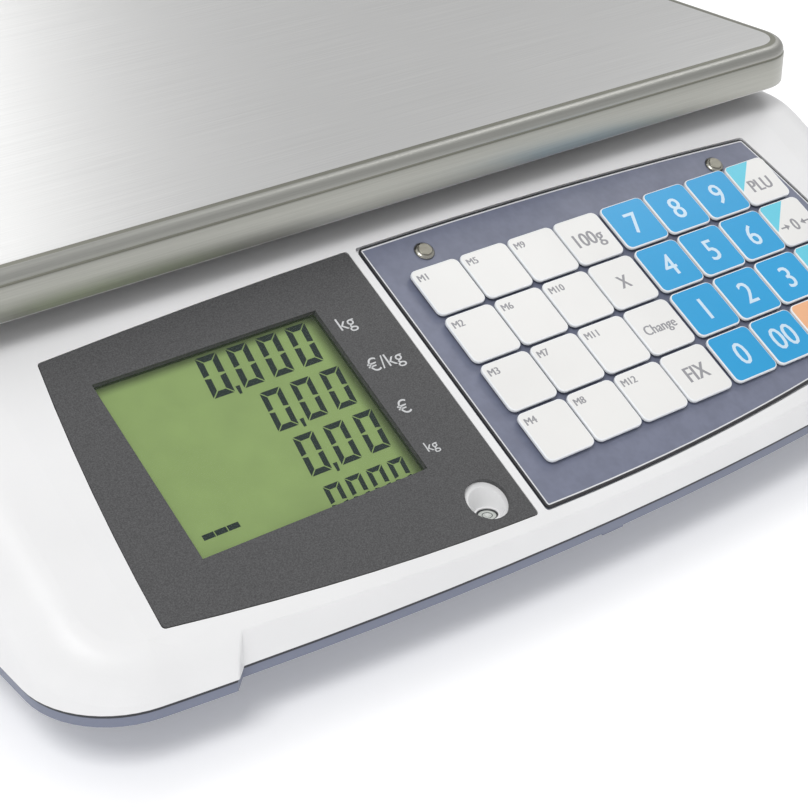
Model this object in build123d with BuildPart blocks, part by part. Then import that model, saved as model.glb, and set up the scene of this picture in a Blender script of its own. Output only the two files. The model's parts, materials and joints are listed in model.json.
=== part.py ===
from build123d import *
from math import cos, radians, sin, tan
import os

os.makedirs("parts", exist_ok=True)

# Retail price scale. X is the operator's right, Y points to the customer, Z is up.
# The origin is on the table, under the centre of the scale. Millimetres throughout.

# Housing
housing_width = 354.0
housing_depth = 350.0
front_y = -housing_depth / 2
rear_y = housing_depth / 2
corner_radius = 28.0
edge_radius = 15.0
shoulder_x = 151.0
shoulder_slope = 5.0
wall = 2.5
deck_z = 84.5
split_z = 22.0

# Base: a tray set well back under a band that follows the housing's edge
base_band = 4.0
base_bottom_z = 8.0
base_inset = 0.6
seam_height = 0.5
seam_depth = 1.4
band_floor = 2.0
band_wall = 2.8
band_bottom = split_z - base_band
tray_inset = 13.0
tray_front_y = front_y + 26.0
tray_corner_radius = 14.0
tray_wall = 2.5
tray_floor_z = base_bottom_z + tray_wall
boss_foot = tray_floor_z - 0.5
foot_boss_radius = 9.0
screw_post_radius = 6.0
stop_post_radius = 5.0
stop_post_height = 34.0
board_post_radius = 3.0
foot_gap = 1.0

# Front face: bowed in plan, and set back between its two corners
front_bow_radius = 1156.0
setback_half_width = 127.0
setback_depth = 4.5
setback_reach = 24.0
lip_radius = 1.0
lip_reach = 14.0

# Operator panel: a plane tilted towards the operator
panel_tilt = 28.0
panel_front_y = front_y + 3.4
panel_front_z = 32.0
panel_wall = 4.0
blend_radius = 35.0
panel = Plane(
    origin=(0, panel_front_y, panel_front_z),
    x_dir=(1, 0, 0),
    z_dir=(0, -sin(radians(panel_tilt)), cos(radians(panel_tilt))),
)
field_front_half = 145.9
field_rear_half = 136.4
field_corner_y = 12.2
field_rear_corner_y = 98.3
field_front_apex = -0.4
field_rear_apex = 102.9
field_side_bow = 1.5
field_corner_radius = 1.2
pocket_depth = 1.6

# Display side of the panel
bezel_right = -29.8
bezel_thickness = 1.5
window_width = 74.1
window_height = 60.4
window_x = -88.85
window_y = 56.3
window_thickness = 1.2
window_depth = 0.4
collar_wall = 1.4
lcd_depth = panel_wall
level_x = -41.3
level_y = 10.5
level_radius = 6.4
level_drop = 5.0
vial_radius = 3.1
vial_height = 5.0

# Keypad side of the panel
keypad_left = -27.0
plate_gap = 0.9
plate_thickness = 1.6
key_pitch = 19.05
key_columns = 8
key_rows = 4
first_key_x = -8.4
first_key_y = 78.5
number_block_shift = 0.9
key_width = 18.3
key_height = 17.9
key_corner = 2.3
key_travel = 0.8
cap_bottom = 0.9
cap_top = 2.2
stem_width = 14.4
stem_height = 14.0
stem_clearance = 0.3
stem_bottom = -1.9
mat_top = -2.9
keypad_margin = 2.5
board_thickness = 1.6
plate_screws = [(-6.1, 94.1), (116.8, 90.9)]
plate_screw_head = 3.4
plate_screw_shank = 1.5

# Weighing pan and what carries it
pan_width = 337.0
pan_depth = 242.0
pan_height = 14.5
pan_rim_z = panel_front_z + 59.1
pan_front_y = panel_front_y + 90.0
pan_corner = 16.5
pan_edge_roll = 4.0
pan_sheet = 1.5
pan_top_z = pan_rim_z + pan_height
pan_y = pan_front_y + pan_depth / 2
peg_x = 115.0
peg_y = 75.0
peg_radius = 5.0
bush_radius = 9.0
bush_height = 6.5
support_z = 62.0
support_thickness = 6.0
cell_length = 130.0
cell_width = 30.0
cell_height = 22.0
cell_z = 27.0
cell_pad = 30.0
cell_bolt_x = 50.0
cell_bolt_half_pitch = 7.5
cell_bolt_radius = 3.0
stop_x = 40.0
stop_y = 26.0
stop_radius = 2.5
stop_gap = 0.5

# Feet, screws and battery
foot_spots = {
    "front_left": (-140.0, -128.0),
    "front_right": (140.0, -128.0),
    "rear_left": (-140.0, 138.0),
    "rear_right": (140.0, 138.0),
}
foot_radius = 13.0
stud_radius = 4.0
stud_clearance = 0.08
screw_spots = [(-152, -95), (152, -95), (-152, 105), (152, 105)]
screw_boss_radius = 4.2
screw_radius = 1.8
screw_head_radius = 3.4
screw_head_height = 2.6
screw_grip = 16.0
battery_x = 71.0
battery_y = 108.0
battery_length = 101.0
battery_width = 70.0
battery_height = 47.0
battery_z = 8.3
door_gap = 0.3
door_thickness = 1.6
door_width = battery_length + 8.0
door_depth = battery_width + 10.0
rail = 3.0
rail_length = door_width + 60.0
rail_x = battery_x - 30.0

cell_bolt_head = 5.2
bolt_head_height = 3.0
stop_thread_z = 28.0
peg_top = pan_top_z - pan_sheet - 2.0
bush_bottom = pan_top_z - pan_sheet - 0.1 - bush_height
board_x = -10.0
board_y = -96.0
board_z = 25.0
board_width = 120.0
board_depth = 60.0

# Rear side: customer display, power inlet and power switch
rear_window_width = 104.0
rear_window_height = 36.0
rear_window_z = 56.0
rear_skin = 1.4
inlet_x = -110.0
switch_x = -78.0
rear_socket_z = 42.0
inlet_width = 16.0
inlet_height = 14.0
switch_width = 13.0
switch_height = 19.0
rocker_tilt = 8.0


def finish(name, part):
    """Label a finished piece and write its STEP file."""
    part.label = name
    export_step(part, f"parts/{name}.step")


def housing_outline(inset):
    """Plan outline of the housing before the front is set back, moved inwards by inset."""
    half = housing_width / 2 - inset
    apex = front_y - setback_depth + inset
    side_front = apex + half**2 / (2 * front_bow_radius)
    back = rear_y - inset
    with BuildSketch(mode=Mode.PRIVATE) as outline:
        with BuildLine():
            ThreePointArc((-half, side_front), (0, apex), (half, side_front))
            Polyline((half, side_front), (half, back), (-half, back), (-half, side_front))
        make_face()
        fillet(outline.vertices(), corner_radius - inset)
    return outline.sketch


def setback_area(inset):
    """Plan area in front of the middle of the front face, grown by inset."""
    half = setback_half_width + inset * tan(radians(22.5))
    apex = front_y + inset
    side_y = apex + half**2 / (2 * front_bow_radius)
    with BuildSketch(mode=Mode.PRIVATE) as area:
        with BuildLine():
            ThreePointArc((-half, side_y), (0, apex), (half, side_y))
            Polyline(
                (half, side_y),
                (half + setback_reach, side_y - setback_reach),
                (-half - setback_reach, side_y - setback_reach),
                (-half, side_y),
            )
        make_face()
    return area.sketch


def roof_profile(deck, drop):
    """Side view of everything above the panel slope and the deck."""
    slope = tan(radians(panel_tilt))
    panel_z = panel_front_z - drop / cos(radians(panel_tilt))
    low_y = front_y - 40
    high_y = rear_y + 40
    top = deck_z + 60
    bend_y = panel_front_y + (deck - panel_z) / slope
    with BuildSketch(Plane.YZ, mode=Mode.PRIVATE) as profile:
        with BuildLine():
            FilletPolyline(
                (low_y, panel_z + (low_y - panel_front_y) * slope),
                (bend_y, deck),
                (high_y, deck),
                radius=blend_radius,
            )
            Polyline(
                (high_y, deck),
                (high_y, top),
                (low_y, top),
                (low_y, panel_z + (low_y - panel_front_y) * slope),
            )
        make_face()
    return profile.sketch


def housing_form(inset, deck, drop, radius):
    """The closed outer or inner form of the upper housing, cut off at the parting line."""
    with BuildPart() as form:
        extrude(housing_outline(inset), amount=deck)
        roof = roof_profile(deck, drop)
        extrude(roof, amount=housing_width, both=True, mode=Mode.SUBTRACT)
        # the shoulders fall away gently on both sides
        fall = tan(radians(shoulder_slope))
        reach = housing_width / 2 + edge_radius - shoulder_x
        for side in (-1, 1):
            ridge = roof.moved(Location((side * shoulder_x, 0, 0)))
            extrude(ridge, amount=reach, dir=(side, 0, -fall), mode=Mode.SUBTRACT)
        rounded = form.edges().filter_by(lambda edge: edge.center().Z > 1)
        rounded = rounded.filter_by(Axis.Z, reverse=True).filter_by(Axis.X, reverse=True)
        fillet(rounded, radius)
        extrude(setback_area(inset), amount=deck, mode=Mode.SUBTRACT)
        split(bisect_by=Plane.XY.offset(split_z), keep=Keep.TOP)
    return form.part


def panel_field(low_x, high_x, shrink):
    """The bowed four-sided field of the panel between two X positions, shrunk on every side."""
    front_half = field_front_half - shrink
    rear_half = field_rear_half - shrink
    side_half = (front_half + rear_half) / 2 + field_side_bow
    front_corner = field_corner_y + shrink
    rear_corner = field_rear_corner_y - shrink
    side_y = (front_corner + rear_corner) / 2
    front_left, front_right = (-front_half, front_corner), (front_half, front_corner)
    rear_left, rear_right = (-rear_half, rear_corner), (rear_half, rear_corner)
    with BuildSketch(panel, mode=Mode.PRIVATE) as field:
        with BuildLine():
            ThreePointArc(front_left, (0, field_front_apex + shrink), front_right)
            ThreePointArc(front_right, (side_half, side_y), rear_right)
            ThreePointArc(rear_right, (0, field_rear_apex - shrink), rear_left)
            ThreePointArc(rear_left, (-side_half, side_y), front_left)
        make_face()
        with Locations(((low_x + high_x) / 2, side_y)):
            Rectangle(high_x - low_x - 2 * shrink, 2 * rear_corner, mode=Mode.INTERSECT)
        fillet(field.vertices(), field_corner_radius)
    return field.sketch


def key_center(column, row):
    """Centre of a key on the panel plane."""
    shift = number_block_shift if column >= key_columns // 2 else 0
    return (first_key_x + column * key_pitch + shift, first_key_y - row * key_pitch)


key_centers = [key_center(column, row) for row in range(key_rows) for column in range(key_columns)]
keypad_x = (key_center(0, 0)[0] + key_center(key_columns - 1, 0)[0]) / 2
keypad_y = (key_center(0, 0)[1] + key_center(0, key_rows - 1)[1]) / 2
keypad_width = key_center(key_columns - 1, 0)[0] - key_center(0, 0)[0] + stem_width + 2 * keypad_margin
keypad_height = (key_rows - 1) * key_pitch + stem_height + 2 * keypad_margin
peg_spots = [(x, pan_y + y) for x in (-peg_x, peg_x) for y in (-peg_y, peg_y)]
stop_spots = [(x, pan_y + y) for x in (-stop_x, stop_x) for y in (-stop_y, stop_y)]
cell_bolt_low = [(-cell_bolt_x + dx, pan_y) for dx in (-cell_bolt_half_pitch, cell_bolt_half_pitch)]
cell_bolt_high = [(cell_bolt_x + dx, pan_y) for dx in (-cell_bolt_half_pitch, cell_bolt_half_pitch)]
level_world_y = panel_front_y + level_y * cos(radians(panel_tilt))
level_world_z = panel_front_z + level_y * sin(radians(panel_tilt))
vial_top_z = level_world_z - level_drop

# ---------------------------------------------------------------- upper housing
inner_form = housing_form(wall, deck_z - wall, panel_wall, edge_radius - wall)
with BuildPart() as lipped_form:
    add(housing_form(0, deck_z, 0, edge_radius))
    # soften the upper edge of the set-back front
    lips = lipped_form.edges().filter_by(Axis.Z, reverse=True)
    lips = lips.filter_by(lambda edge: edge.bounding_box().max.Y < front_y + lip_reach)
    lips = lips.filter_by(lambda edge: abs(edge.center().X) < setback_half_width + setback_depth)
    fillet(lips.filter_by(lambda edge: edge.center().Z > split_z + 3), lip_radius)
outer_form = lipped_form.part

with BuildPart() as boss_columns:
    with Locations((level_x, level_world_y, vial_top_z - vial_height - 1.5)):
        Cylinder(level_radius + 2.4, 30, align=(Align.CENTER, Align.CENTER, Align.MIN))
    with Locations([(x, y, split_z + 2) for x, y in screw_spots]):
        Cylinder(screw_boss_radius, deck_z, align=(Align.CENTER, Align.CENTER, Align.MIN))
bosses = boss_columns.part & outer_form

with BuildPart() as top_housing:
    add(outer_form)
    add(inner_form, mode=Mode.SUBTRACT)
    add(bosses)
    # pilot holes of the housing screws
    with BuildSketch(Plane.XY.offset(split_z + 2)):
        with Locations(*screw_spots):
            Circle(screw_radius)
    extrude(amount=screw_grip, mode=Mode.SUBTRACT)
    # pockets for the display bezel and the keypad plate
    extrude(panel_field(-200, bezel_right, 0), amount=-pocket_depth, mode=Mode.SUBTRACT)
    extrude(panel_field(keypad_left, 200, 0), amount=-pocket_depth, mode=Mode.SUBTRACT)
    # openings under the display window and under the keys
    with BuildSketch(panel):
        with Locations((window_x, window_y)):
            Rectangle(window_width + 2 * collar_wall + 0.6, window_height + 2 * collar_wall + 0.6)
        with Locations((keypad_x, keypad_y)):
            Rectangle(keypad_width, keypad_height)
        with Locations(*plate_screws):
            Circle(plate_screw_shank + 0.05)
    extrude(amount=-3 * panel_wall, mode=Mode.SUBTRACT)
    # level well, from a round mouth in the panel down to the horizontal vial
    with BuildSketch(panel):
        with Locations((level_x, level_y)):
            Circle(level_radius)
    with BuildSketch(Plane.XY.offset(vial_top_z)):
        with Locations((level_x, level_world_y)):
            Circle(vial_radius + 0.6)
    loft(mode=Mode.SUBTRACT)
    with BuildSketch(Plane.XY.offset(vial_top_z)):
        with Locations((level_x, level_world_y)):
            Circle(vial_radius + 0.05)
    extrude(amount=-vial_height, mode=Mode.SUBTRACT)
    # holes that the support pegs pass through
    with BuildSketch(Plane.XY.offset(deck_z)):
        with Locations(*peg_spots):
            Circle(bush_radius)
    extrude(amount=-4 * wall, mode=Mode.SUBTRACT)
    # rear openings
    with BuildSketch(Plane.XZ.offset(-rear_y)):
        with Locations((0, rear_window_z)):
            Rectangle(rear_window_width - 4, rear_window_height - 4)
        with Locations((inlet_x, rear_socket_z)):
            Rectangle(inlet_width, inlet_height)
        with Locations((switch_x, rear_socket_z)):
            Rectangle(switch_width, switch_height)
    extrude(amount=4 * wall, mode=Mode.SUBTRACT)
    with BuildSketch(Plane.XZ.offset(-rear_y)):
        with Locations((0, rear_window_z)):
            Rectangle(rear_window_width, rear_window_height)
    extrude(amount=rear_skin, mode=Mode.SUBTRACT)
finish("top_housing", top_housing.part)


# ---------------------------------------------------------------- base housing
def tray_outline(inset):
    """Plan outline of the tray under the band, moved inwards by inset."""
    tray_rear_y = rear_y - tray_inset
    width = housing_width - 2 * (tray_inset + inset)
    depth = tray_rear_y - tray_front_y - 2 * inset
    with BuildSketch(mode=Mode.PRIVATE) as outline:
        with Locations((0, (tray_front_y + tray_rear_y) / 2)):
            RectangleRounded(width, depth, tray_corner_radius - inset)
    return outline.sketch


with BuildPart() as base_housing:
    # lower tray, then the band that follows the edge of the upper housing
    with BuildSketch(Plane.XY.offset(base_bottom_z)):
        add(tray_outline(0))
    extrude(amount=band_bottom - base_bottom_z)
    chamfer(base_housing.faces().sort_by(Axis.Z)[0].edges(), 4)
    with BuildSketch(Plane.XY.offset(band_bottom)):
        add(housing_outline(base_inset))
        add(setback_area(base_inset), mode=Mode.SUBTRACT)
    extrude(amount=base_band)
    # small grip tab under the middle of the front edge
    with BuildSketch(Plane.XY.offset(band_bottom)):
        with Locations((-3, front_y + base_inset + 4)):
            Rectangle(8, 7)
    extrude(amount=-1)
    # hollow of the band and of the tray
    with BuildSketch(Plane.XY.offset(band_bottom + band_floor)):
        add(housing_outline(band_wall))
        add(setback_area(band_wall), mode=Mode.SUBTRACT)
    extrude(amount=base_band, mode=Mode.SUBTRACT)
    with BuildSketch(Plane.XY.offset(tray_floor_z)):
        add(tray_outline(tray_wall + 2))
    extrude(amount=base_band + base_bottom_z, mode=Mode.SUBTRACT)
    # shadow seam between the band and the upper housing
    with BuildSketch(Plane.XY.offset(split_z - seam_height)):
        Rectangle(housing_width + 20, housing_depth + 20)
        add(housing_outline(base_inset + seam_depth), mode=Mode.SUBTRACT)
        add(setback_area(base_inset + seam_depth))
    extrude(amount=seam_height, mode=Mode.SUBTRACT)
    # bosses for the feet, load cell, overload stops, housing screws and main board
    with BuildSketch(Plane.XY.offset(boss_foot)):
        with Locations(*foot_spots.values()):
            Circle(foot_boss_radius)
        with Locations(*screw_spots):
            Circle(screw_post_radius)
    extrude(amount=split_z - tray_floor_z)
    with BuildSketch(Plane.XY.offset(boss_foot)):
        with Locations((-cell_bolt_x, pan_y)):
            Rectangle(cell_pad, cell_width + 6)
    extrude(amount=cell_z - boss_foot)
    with BuildSketch(Plane.XY.offset(boss_foot)):
        with Locations(*stop_spots):
            Circle(stop_post_radius)
    extrude(amount=stop_post_height)
    with BuildSketch(Plane.XY.offset(boss_foot)):
        with Locations((board_x, board_y)):
            with GridLocations(board_width - 10, board_depth - 10, 2, 2):
                Circle(board_post_radius)
    extrude(amount=board_z - boss_foot)
    # rails that carry the battery door
    with BuildSketch(Plane.XY.offset(base_bottom_z + 0.5)):
        with Locations((rail_x, battery_y)):
            with GridLocations(1, door_depth + 2 * door_gap + rail, 1, 2):
                Rectangle(rail_length, rail)
    extrude(amount=-(door_thickness + 2 * door_gap + 2.5))
    with BuildSketch(Plane.XY.offset(base_bottom_z - door_thickness - 2 * door_gap)):
        with Locations((rail_x, battery_y)):
            with GridLocations(1, door_depth - rail, 1, 2):
                Rectangle(rail_length, rail + 1)
    extrude(amount=-2)
    # holes: battery, feet, screws, load cell bolts and stops
    with BuildSketch(Plane.XY):
        with Locations((battery_x, battery_y)):
            Rectangle(battery_length + 1.5, battery_width + 1.5)
        with Locations(*foot_spots.values()):
            Circle(stud_radius + stud_clearance)
        with Locations(*screw_spots):
            Circle(screw_radius + 0.1)
        with Locations(*cell_bolt_low):
            Circle(cell_bolt_radius + 0.05)
    extrude(amount=cell_z + 1, mode=Mode.SUBTRACT)
    with BuildSketch(Plane.XY.offset(base_bottom_z)):
        with Locations(*screw_spots):
            Circle(screw_head_radius + 0.3)
        with Locations(*cell_bolt_low):
            Circle(cell_bolt_head + 0.5)
    extrude(amount=bolt_head_height + 1, mode=Mode.SUBTRACT)
    with BuildSketch(Plane.XY.offset(stop_thread_z)):
        with Locations(*stop_spots):
            Circle(stop_radius + 0.05)
    extrude(amount=30, mode=Mode.SUBTRACT)
finish("base_housing", base_housing.part)

with BuildPart() as battery_cover:
    with BuildSketch(Plane.XY.offset(base_bottom_z - door_gap - door_thickness)):
        with Locations((battery_x, battery_y)):
            RectangleRounded(door_width, door_depth, 2)
    extrude(amount=door_thickness)
    # finger grooves
    with BuildSketch(Plane.XY.offset(base_bottom_z - door_gap - door_thickness)):
        with Locations((battery_x - 40, battery_y)):
            with GridLocations(4, 1, 5, 1):
                SlotOverall(40, 2, rotation=90)
    extrude(amount=0.6, mode=Mode.SUBTRACT)
finish("battery_cover", battery_cover.part)

with BuildPart() as battery:
    with BuildSketch(Plane.XY.offset(battery_z)):
        with Locations((battery_x, battery_y)):
            RectangleRounded(battery_length, battery_width, 3)
    extrude(amount=battery_height)
    with BuildSketch(Plane.XY.offset(battery_z + battery_height)):
        with Locations((battery_x, battery_y - 24)):
            with GridLocations(70, 1, 2, 1):
                Rectangle(6, 4)
    extrude(amount=4)
finish("battery", battery.part)


def build_foot(name, x, y):
    """A levelling foot: round grip, rubber sole and threaded stud in one turned piece."""
    with BuildPart() as foot:
        with BuildSketch(Plane.XY):
            with Locations((x, y)):
                Circle(foot_radius)
        extrude(amount=base_bottom_z - foot_gap)
        chamfer(foot.edges(), 1)
        with BuildSketch(Plane.XY.offset(base_bottom_z - foot_gap)):
            with Locations((x, y)):
                Circle(stud_radius)
        extrude(amount=split_z + 4 - base_bottom_z)
        with BuildSketch(Plane.XY):
            with Locations((x, y)):
                with PolarLocations(foot_radius + 0.4, 18):
                    Circle(1.2)
        extrude(amount=base_bottom_z, mode=Mode.SUBTRACT)
    finish(name, foot.part)


for spot, (foot_x, foot_y) in foot_spots.items():
    build_foot(f"foot_{spot}", foot_x, foot_y)

with BuildPart() as housing_screws:
    with BuildSketch(Plane.XY.offset(base_bottom_z + 0.4)):
        with Locations(*screw_spots):
            Circle(screw_head_radius)
    extrude(amount=screw_head_height)
    with BuildSketch(Plane.XY.offset(base_bottom_z + 0.4)):
        with Locations(*screw_spots):
            Circle(screw_radius - 0.05)
    extrude(amount=split_z + screw_grip - base_bottom_z - 1)
    with BuildSketch(Plane.XY.offset(base_bottom_z + 0.4)):
        with Locations(*screw_spots):
            Rectangle(3.6, 0.8)
            Rectangle(0.8, 3.6)
    extrude(amount=1.4, mode=Mode.SUBTRACT)
finish("housing_screws", housing_screws.part)

# ---------------------------------------------------------------- weighing mechanism
with BuildPart() as load_cell:
    with BuildSketch(Plane.XY.offset(cell_z)):
        with Locations((0, pan_y)):
            Rectangle(cell_length, cell_width)
            with Locations((-cell_bolt_x, 0), (cell_bolt_x, 0)):
                with GridLocations(2 * cell_bolt_half_pitch, 1, 2, 1):
                    Circle(cell_bolt_radius + 0.05, mode=Mode.SUBTRACT)
    extrude(amount=cell_height)
    # sensing window cut across the bar
    with BuildSketch(Plane.XZ.offset(-pan_y - cell_width)):
        with Locations((0, cell_z + cell_height / 2)):
            with GridLocations(34, 1, 2, 1):
                Circle(7.5)
            Rectangle(34, 5)
    extrude(amount=2 * cell_width, mode=Mode.SUBTRACT)
finish("load_cell", load_cell.part)

with BuildPart() as load_cell_bolts:
    with BuildSketch(Plane.XY.offset(base_bottom_z + 0.5)):
        with Locations(*cell_bolt_low):
            RegularPolygon(cell_bolt_head, 6)
    extrude(amount=bolt_head_height)
    with BuildSketch(Plane.XY.offset(base_bottom_z + 0.5)):
        with Locations(*cell_bolt_low):
            Circle(cell_bolt_radius)
    extrude(amount=cell_z + 14 - base_bottom_z)
    with BuildSketch(Plane.XY.offset(support_z + support_thickness)):
        with Locations(*cell_bolt_high):
            RegularPolygon(cell_bolt_head, 6)
    extrude(amount=bolt_head_height)
    with BuildSketch(Plane.XY.offset(cell_z + 8)):
        with Locations(*cell_bolt_high):
            Circle(cell_bolt_radius)
    extrude(amount=support_z + support_thickness - cell_z - 8)
finish("load_cell_bolts", load_cell_bolts.part)

with BuildPart() as pan_support:
    # diagonal arms to the four pegs, and a plate over the load cell
    with BuildSketch(Plane.XY.offset(support_z)):
        with Locations((0, pan_y)):
            RectangleRounded(140, 44, 5)
        for x, y in peg_spots:
            with BuildLine():
                Line((0, pan_y), (x, y))
            trace(line_width=16)
            with Locations((x, y)):
                Circle(11)
    extrude(amount=support_thickness)
    # pad that stands on the free end of the load cell
    with BuildSketch(Plane.XY.offset(cell_z + cell_height)):
        with Locations((cell_bolt_x, pan_y)):
            Rectangle(cell_pad, cell_width)
    extrude(amount=support_z - cell_z - cell_height)
    # pegs that stand up through the housing
    with BuildSketch(Plane.XY.offset(support_z + support_thickness)):
        with Locations(*peg_spots):
            Circle(peg_radius)
    extrude(amount=peg_top - support_z - support_thickness)
    with BuildSketch(Plane.XY.offset(cell_z)):
        with Locations(*cell_bolt_high):
            Circle(cell_bolt_radius + 0.05)
    extrude(amount=support_z, mode=Mode.SUBTRACT)
finish("pan_support", pan_support.part)

with BuildPart() as overload_stops:
    with BuildSketch(Plane.XY.offset(stop_thread_z)):
        with Locations(*stop_spots):
            Circle(stop_radius)
    extrude(amount=support_z - stop_gap - stop_thread_z)
    with BuildSketch(Plane.XY.offset(boss_foot + stop_post_height)):
        with Locations(*stop_spots):
            RegularPolygon(4.4, 6)
            Circle(stop_radius, mode=Mode.SUBTRACT)
    extrude(amount=4)
finish("overload_stops", overload_stops.part)

with BuildPart() as pan_bushes:
    with BuildSketch(Plane.XY.offset(bush_bottom)):
        with Locations(*peg_spots):
            Circle(bush_radius - 1)
    extrude(amount=bush_height)
    chamfer(pan_bushes.faces().sort_by(Axis.Z)[-1].edges(), 1)
    with BuildSketch(Plane.XY.offset(bush_bottom)):
        with Locations(*peg_spots):
            Circle(peg_radius)
    extrude(amount=peg_top - bush_bottom, mode=Mode.SUBTRACT)
finish("pan_bushes", pan_bushes.part)

def pan_block(inset):
    """The outer or inner form of the folded pan, moved inwards by inset."""
    with BuildPart() as block:
        with BuildSketch(Plane.XY.offset(pan_rim_z)):
            with Locations((0, pan_y)):
                RectangleRounded(pan_width - 2 * inset, pan_depth - 2 * inset, pan_corner - inset)
        extrude(amount=pan_height - inset)
        fillet(block.faces().sort_by(Axis.Z)[-1].edges(), pan_edge_roll - inset)
    return block.part


pan_outer = pan_block(0)
pan_inner = pan_block(pan_sheet)
with BuildPart() as weighing_pan:
    add(pan_outer)
    add(pan_inner, mode=Mode.SUBTRACT)
finish("weighing_pan", weighing_pan.part)

# ---------------------------------------------------------------- operator display
with BuildPart() as display_bezel:
    extrude(panel_field(-200, bezel_right, 0.25), amount=-bezel_thickness)
    with BuildSketch(panel.offset(-bezel_thickness)):
        with Locations((window_x, window_y)):
            Rectangle(window_width + 2 * collar_wall, window_height + 2 * collar_wall)
    extrude(amount=bezel_thickness - panel_wall)
    with BuildSketch(panel):
        with Locations((window_x, window_y)):
            Rectangle(window_width, window_height)
        with Locations((level_x, level_y)):
            Circle(level_radius + 0.3)
    extrude(amount=-2 * panel_wall, mode=Mode.SUBTRACT)
finish("display_bezel", display_bezel.part)

with BuildPart() as display_window:
    with BuildSketch(panel.offset(-window_depth)):
        with Locations((window_x, window_y)):
            Rectangle(window_width - 0.1, window_height - 0.1)
    extrude(amount=-window_thickness)
finish("display_window", display_window.part)

with BuildPart() as lcd_module:
    with BuildSketch(panel.offset(-lcd_depth)):
        with Locations((window_x, window_y)):
            Rectangle(window_width + 10, window_height + 8)
    extrude(amount=-2.8)
    with BuildSketch(panel.offset(-lcd_depth - 2.8)):
        with Locations((window_x, window_y)):
            Rectangle(window_width + 14, window_height + 14)
    extrude(amount=-board_thickness)
finish("lcd_module", lcd_module.part)

with BuildPart() as level_vial:
    with BuildSketch(Plane.XY.offset(vial_top_z - vial_height)):
        with Locations((level_x, level_world_y)):
            Circle(vial_radius)
    extrude(amount=vial_height - 0.2)
    fillet(level_vial.faces().sort_by(Axis.Z)[-1].edges(), 0.5)
finish("level_vial", level_vial.part)

# ---------------------------------------------------------------- keypad
with BuildPart() as keypad_plate:
    extrude(panel_field(keypad_left, 200, plate_gap), amount=-plate_thickness)
    with BuildSketch(panel):
        with Locations(*key_centers):
            RectangleRounded(stem_width + 2 * stem_clearance, stem_height + 2 * stem_clearance, 1)
        with Locations(*plate_screws):
            Circle(plate_screw_shank + 0.05)
    extrude(amount=-2 * plate_thickness, mode=Mode.SUBTRACT)
finish("keypad_plate", keypad_plate.part)

with BuildPart() as keypad_screws:
    with BuildSketch(panel):
        with Locations(*plate_screws):
            Circle(plate_screw_head)
    extrude(amount=1.3)
    head_tops = keypad_screws.faces().filter_by(lambda face: face.normal_at().dot(panel.z_dir) > 0.9)
    fillet(head_tops.edges(), 0.6)
    with BuildSketch(panel):
        with Locations(*plate_screws):
            Circle(plate_screw_shank)
    extrude(amount=0.2 - panel_wall)
finish("keypad_screws", keypad_screws.part)

with BuildPart() as keypad_mat:
    with BuildSketch(panel.offset(mat_top)):
        with Locations((keypad_x, keypad_y)):
            RectangleRounded(keypad_width - 1, keypad_height - 1, 2)
    extrude(amount=-(panel_wall + mat_top))
finish("keypad_mat", keypad_mat.part)

with BuildPart() as keypad_board:
    with BuildSketch(panel.offset(-panel_wall)):
        with Locations((keypad_x, keypad_y - 1)):
            Rectangle(keypad_width + 8, keypad_height + 4)
    extrude(amount=-board_thickness)
finish("keypad_board", keypad_board.part)


def build_key(name, x, y):
    """A key: a cap that stands over the plate and a stem that passes through its window."""
    with BuildPart() as key:
        with BuildSketch(panel.offset(cap_bottom)):
            with Locations((x, y)):
                RectangleRounded(key_width, key_height, key_corner)
        extrude(amount=cap_top - cap_bottom)
        top_face = key.faces().filter_by(lambda face: face.normal_at().dot(panel.z_dir) > 0.9)
        fillet(top_face.edges(), 0.5)
        with BuildSketch(panel.offset(cap_bottom)):
            with Locations((x, y)):
                RectangleRounded(stem_width, stem_height, 0.8)
        extrude(amount=stem_bottom - cap_bottom)
    finish(name, key.part)


key_names = [
    "memory_1", "memory_5", "memory_9", "weight_100", "digit_7", "digit_8", "digit_9", "price_lookup",
    "memory_2", "memory_6", "memory_10", "multiply", "digit_4", "digit_5", "digit_6", "zero_set",
    "memory_3", "memory_7", "memory_11", "change", "digit_1", "digit_2", "digit_3", "tare",
    "memory_4", "memory_8", "memory_12", "fix", "digit_0", "digit_00", "clear", "total",
]
for key_name, (key_x, key_y) in zip(key_names, key_centers):
    build_key(f"key_{key_name}", key_x, key_y)

# ---------------------------------------------------------------- electronics and rear side
with BuildPart() as main_board:
    with BuildSketch(Plane.XY.offset(board_z)):
        with Locations((board_x, board_y)):
            Rectangle(board_width, board_depth)
    extrude(amount=board_thickness)
    # the larger parts on the board
    with BuildSketch(Plane.XY.offset(board_z + board_thickness)):
        with Locations((board_x - 24, board_y + 4)):
            Rectangle(14, 14)
        with Locations((board_x + 10, board_y - 8)):
            Rectangle(20, 10)
    extrude(amount=1.6)
    with BuildSketch(Plane.XY.offset(board_z + board_thickness)):
        with Locations((board_x + 40, board_y + 10)):
            with GridLocations(12, 1, 2, 1):
                Circle(4)
    extrude(amount=10)
finish("main_board", main_board.part)

rear_face = Plane.XZ.offset(-rear_y)
with BuildPart() as rear_window:
    with BuildSketch(rear_face.offset(0.1)):
        with Locations((0, rear_window_z)):
            RectangleRounded(rear_window_width - 0.4, rear_window_height - 0.4, 1)
    extrude(amount=rear_skin - 0.1)
finish("rear_window", rear_window.part)

with BuildPart() as rear_lcd:
    with BuildSketch(rear_face.offset(wall)):
        with Locations((0, rear_window_z)):
            Rectangle(rear_window_width - 3, rear_window_height - 6)
    extrude(amount=4)
finish("rear_lcd", rear_lcd.part)

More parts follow.
